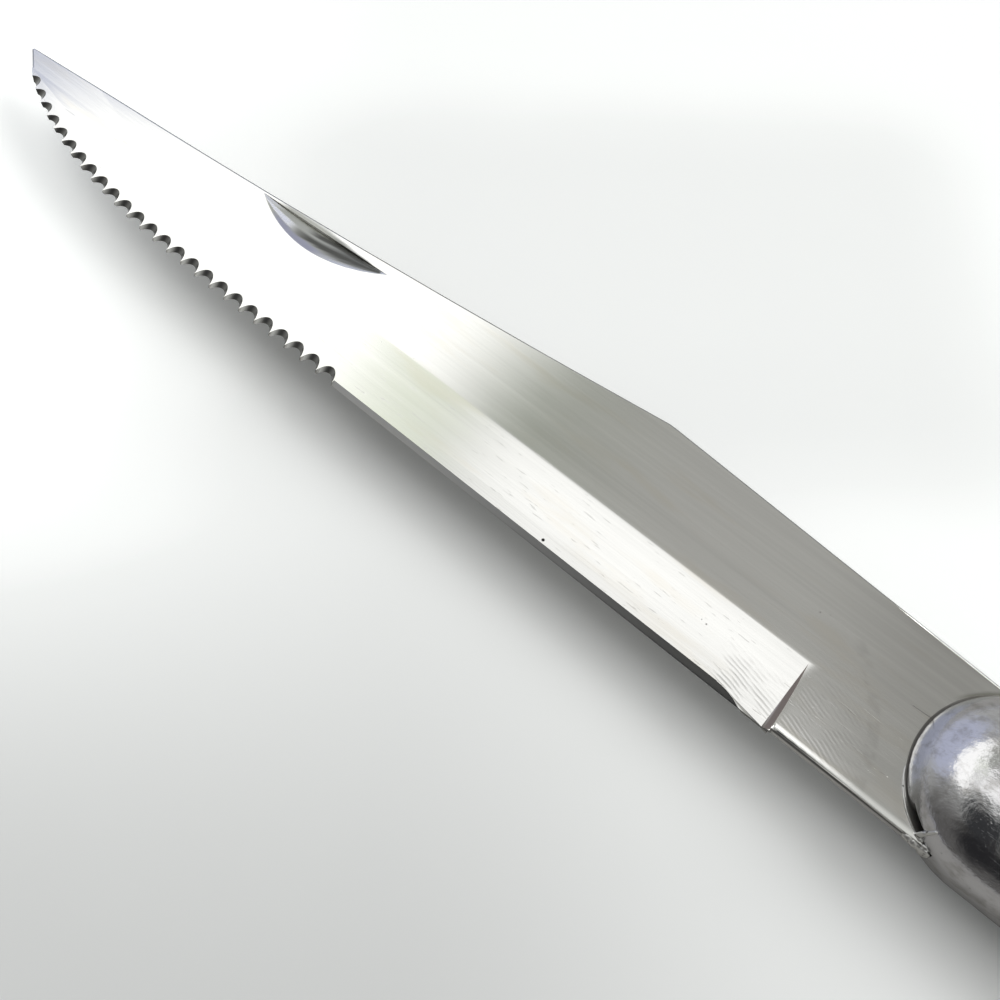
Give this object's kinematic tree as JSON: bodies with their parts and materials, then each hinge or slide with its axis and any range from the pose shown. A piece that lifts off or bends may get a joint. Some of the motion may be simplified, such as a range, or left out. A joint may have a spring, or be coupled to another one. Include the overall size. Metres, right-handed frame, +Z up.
{
  "type": "steak knife",
  "caption": "Steak knife with a scalloped and plain edged steel blade, a domed polished bolster and a riveted wooden handle with a steel cap.",
  "frame": {"origin": "middle of the knife's footprint on the table that it lies on", "axes": "+X along the knife from the tip to the butt, +Y across it to the spine, +Z up off the table, square to the blade's face"},
  "size_m": [0.2326, 0.021, 0.0124],
  "materials": {
    "blade_steel": "fine brushed along the blade",
    "polished_steel": "polished stainless steel with fine wear",
    "solder": "soft bright solder",
    "handle_wood": "oiled dark reddish brown wood, satin"
  },
  "bodies": {
    "root": {"blade": "blade_steel", "bolster": "polished_steel", "bolster_pin": "polished_steel", "solder_seam": "solder", "upper_scale": "handle_wood", "lower_scale": "handle_wood", "front_rivet_stud": "polished_steel", "front_rivet_sleeve": "polished_steel", "middle_rivet_stud": "polished_steel", "middle_rivet_sleeve": "polished_steel", "rear_rivet_stud": "polished_steel", "rear_rivet_sleeve": "polished_steel", "pommel_cap": "polished_steel", "pommel_pin": "polished_steel"}
  },
  "joints": []
}
